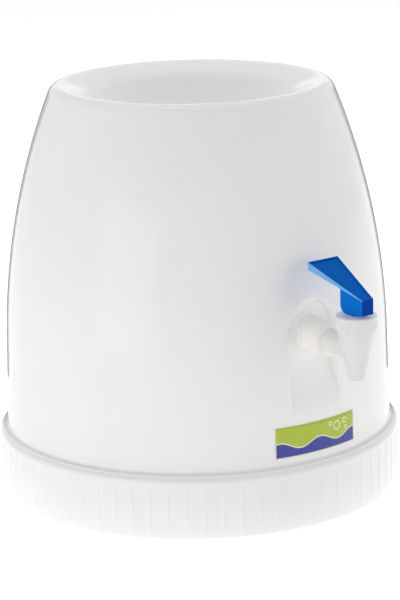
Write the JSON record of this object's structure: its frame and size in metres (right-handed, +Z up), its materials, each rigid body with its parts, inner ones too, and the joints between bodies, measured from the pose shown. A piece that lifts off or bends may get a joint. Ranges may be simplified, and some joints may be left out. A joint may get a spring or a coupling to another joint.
{
  "type": "water dispenser",
  "caption": "Domed table-top water dispenser: a dished top takes an upturned bottle, a lever tap sits in a wall niche, and a ribbed base twists off.",
  "frame": {"origin": "centre of the base on the table", "axes": "+Z up along the axis of the dome and of the bottle neck, the tap towards -Y"},
  "size_m": [0.282, 0.3292, 0.2816],
  "materials": {
    "dome_plastic": "glossy, white",
    "base_plastic": "satin, white",
    "tap_plastic": "satin, white",
    "ivory_plastic": "satin, ivory",
    "lever_plastic": "glossy, blue",
    "silicone": "soft, milky",
    "steel": "drawn wire",
    "label_film": "printed film"
  },
  "bodies": {
    "dispenser": {"body_shell": "dome_plastic", "front_label": "label_film", "tap_body": "tap_plastic", "tap_bonnet": "tap_plastic", "outer_lock_nut": "ivory_plastic", "outer_washer": "silicone", "inner_washer": "silicone", "shank_nut": "tap_plastic"},
    "base": {"base_cap": "base_plastic", "base_seal": "silicone"},
    "plunger": {"valve_bell": "silicone", "spring_cup": "steel", "return_spring": "steel"},
    "stem": {"valve_stem": "tap_plastic"},
    "lever": {"lever": "lever_plastic"}
  },
  "joints": [
    {"name": "base_twist", "type": "hinge", "parent": "dispenser", "child": "base", "pos_m": [0, 0, 0], "axis": [0, 0, -1], "range_deg": [0, 30]},
    {"name": "stem_lift", "type": "slide", "parent": "dispenser", "child": "plunger", "axis": [0, 0, 1], "range_m": [0, 0.0021], "deforming": ["return_spring", "valve_bell"]},
    {"name": "lever_swivel", "type": "hinge", "parent": "plunger", "child": "stem", "pos_m": [0, -0.1743, 0.15785], "axis": [0, 0, 1], "continuous": true},
    {"name": "lever_press", "type": "hinge", "parent": "stem", "child": "lever", "pos_m": [0, -0.1743, 0.15785], "axis": [-1, 0, 0], "range_deg": [0, 30], "stiffness_Nm_per_rad": 0.03, "springref_deg": -20.05}
  ],
  "couplings": [
    {"joint": "stem_lift", "follows": "lever_press", "m_per_rad": 0.004}
  ]
}
